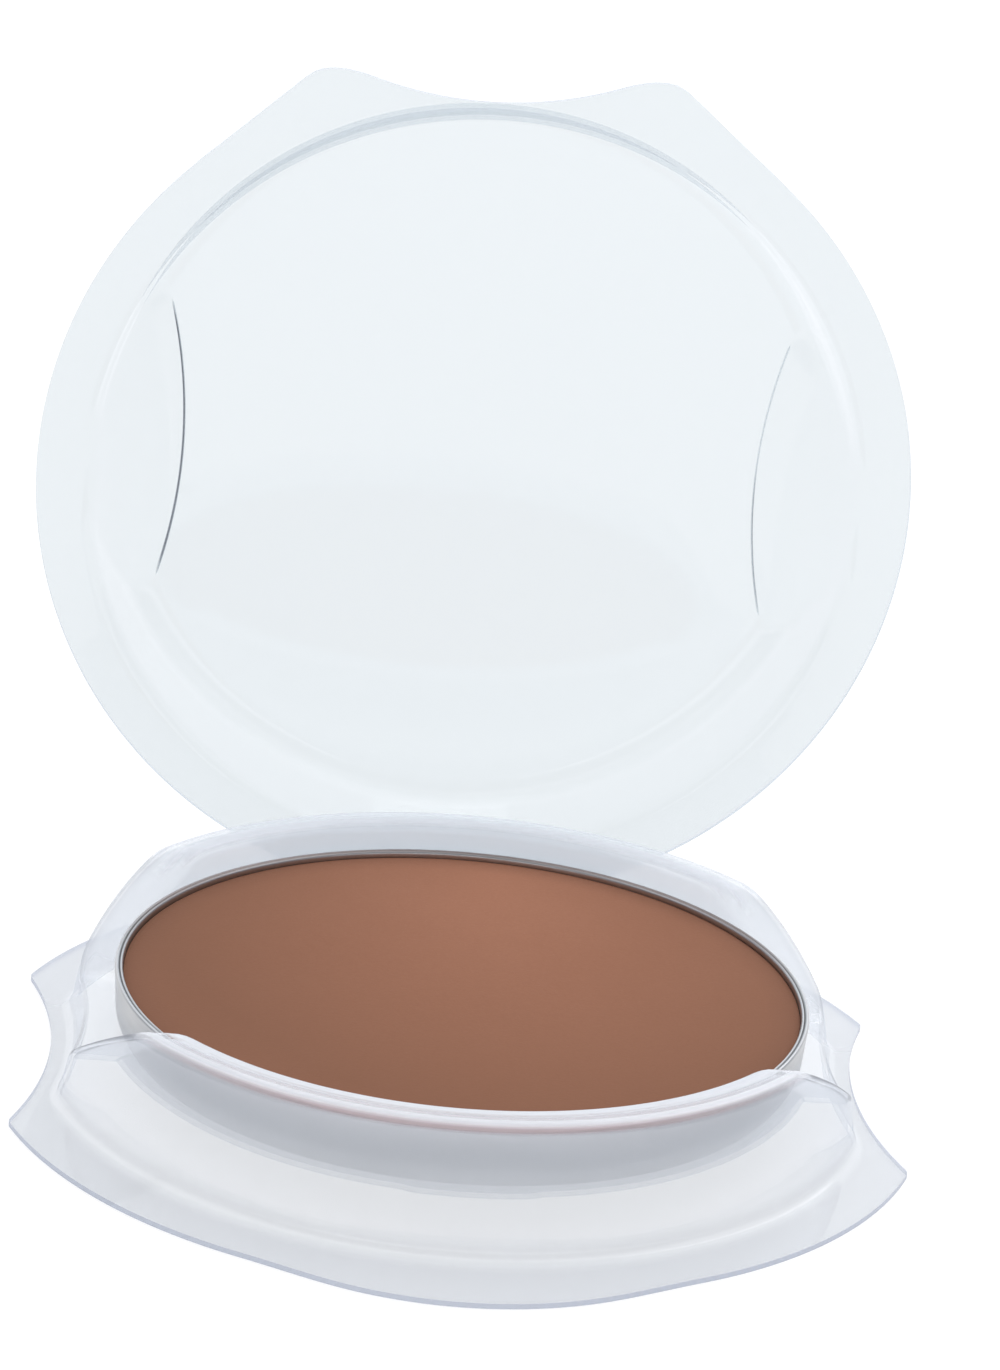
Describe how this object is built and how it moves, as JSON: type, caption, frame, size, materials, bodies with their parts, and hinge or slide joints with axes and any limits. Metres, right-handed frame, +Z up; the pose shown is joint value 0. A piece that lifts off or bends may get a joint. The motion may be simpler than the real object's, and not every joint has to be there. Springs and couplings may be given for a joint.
{
  "type": "powder compact",
  "caption": "Round pressed-powder refill: a metal pan of powder held in the ring of a clear folding case, with finger gaps at the sides and a domed hinged lid.",
  "frame": {"origin": "on the axis of the pan, at the level of the flat underside of the tray flange that the compact stands on", "axes": "+Z up out of the pan, +Y from the pan towards the hinge at the back, +X to the right when looking from the front thumb tab to the hinge"},
  "size_m": [0.0806, 0.0937, 0.0803],
  "materials": {
    "clear_sheet": "clear, gloss",
    "pan_metal": "satin",
    "pressed_powder": "matt, fine grain"
  },
  "bodies": {
    "case_base": {"tray": "clear_sheet", "living_hinge": "clear_sheet"},
    "case_lid": {"lid": "clear_sheet"},
    "refill": {"pan": "pan_metal", "powder": "pressed_powder"}
  },
  "joints": [
    {"name": "lid_hinge", "type": "hinge", "parent": "case_base", "child": "case_lid", "pos_m": [0, 0.0399, 0.0005], "axis": [-1, 0, 0], "range_deg": [-88.2, 29.8], "stiffness_Nm_per_rad": 0.02},
    {"name": "pan_lift", "type": "slide", "parent": "case_base", "child": "refill", "axis": [0, 0, 1], "range_m": [0, 0.04]}
  ]
}
